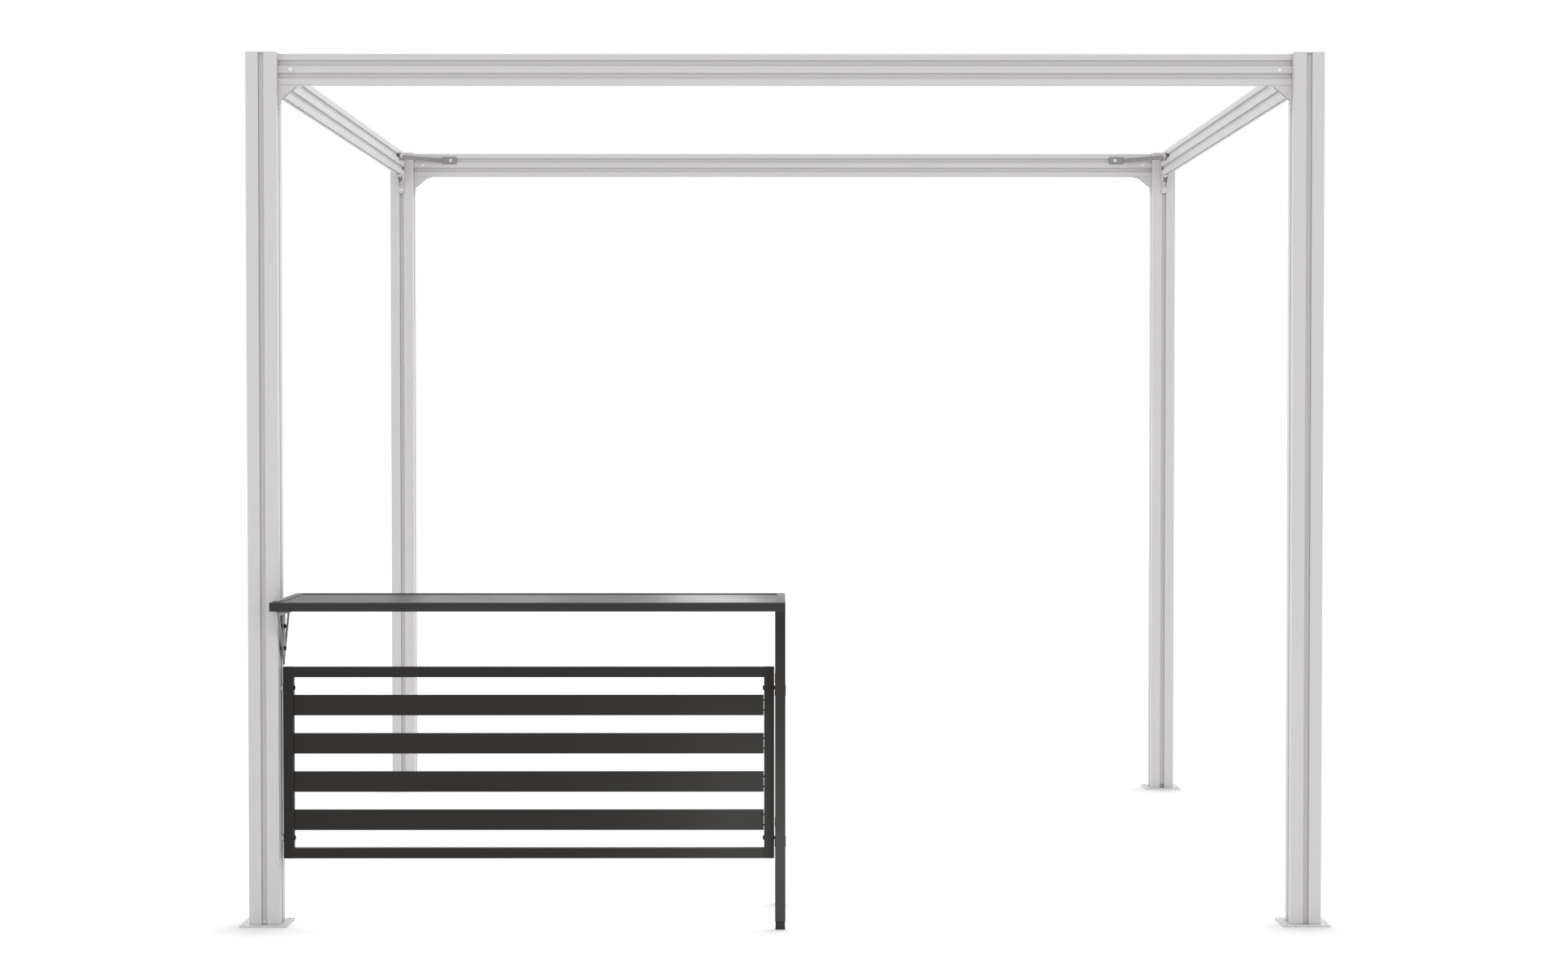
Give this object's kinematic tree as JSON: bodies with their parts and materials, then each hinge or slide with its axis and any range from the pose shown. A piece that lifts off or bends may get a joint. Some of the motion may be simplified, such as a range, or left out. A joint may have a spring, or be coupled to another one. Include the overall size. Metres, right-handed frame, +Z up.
{
  "type": "pergola bar",
  "caption": "Open extruded-aluminium pergola frame with a bar built into its front bay: worktop, end frame and slatted front panel.",
  "frame": {"origin": "on the ground, in the middle of the whole object's outline seen from above", "axes": "+Z up, +X to the right seen from the front, the bar stands at -Y (the front) on the -X side"},
  "size_m": [3.2, 3.24, 2.56],
  "materials": {
    "frame_aluminium": "pale grey powder coating, satin",
    "cap_plastic": "moulded pale grey plastic",
    "bar_coating": "fine-textured anthracite powder coating",
    "worktop_gloss": "smooth dark compact laminate with a sheen",
    "foot_plastic": "moulded black plastic",
    "bracket_zinc": "zinc-plated steel sheet",
    "fastener_black": "black oxide steel"
  },
  "bodies": {
    "root": {"post_front_left": "frame_aluminium", "post_front_right": "frame_aluminium", "post_rear_left": "frame_aluminium", "post_rear_right": "frame_aluminium", "base_plate_front_left": "frame_aluminium", "base_plate_front_right": "frame_aluminium", "base_plate_rear_left": "frame_aluminium", "base_plate_rear_right": "frame_aluminium", "post_cap_front_left": "cap_plastic", "post_cap_front_right": "cap_plastic", "post_cap_rear_left": "cap_plastic", "post_cap_rear_right": "cap_plastic", "beam_front": "frame_aluminium", "beam_rear": "frame_aluminium", "beam_left": "frame_aluminium", "beam_right": "frame_aluminium", "strap_front_left": "bracket_zinc", "strap_front_right": "bracket_zinc", "strap_rear_left": "bracket_zinc", "strap_rear_right": "bracket_zinc", "knees_front_left": "frame_aluminium", "knees_front_right": "frame_aluminium", "knees_rear_left": "frame_aluminium", "knees_rear_right": "frame_aluminium", "worktop_rail_front": "bar_coating", "worktop_rail_rear": "bar_coating", "worktop_rail_left": "bar_coating", "worktop_rail_right": "bar_coating", "worktop_inset": "worktop_gloss", "leg_front": "bar_coating", "leg_rear": "bar_coating", "leg_foot_front": "foot_plastic", "leg_foot_rear": "foot_plastic", "leg_cross_rail_upper": "bar_coating", "leg_cross_rail_lower": "bar_coating", "panel_rail_top": "bar_coating", "panel_rail_bottom": "bar_coating", "panel_stile_left": "bar_coating", "panel_stile_right": "bar_coating", "slat_1": "bar_coating", "slat_2": "bar_coating", "slat_3": "bar_coating", "slat_4": "bar_coating", "bar_bracket": "bracket_zinc", "bar_fasteners": "fastener_black"}
  },
  "joints": []
}
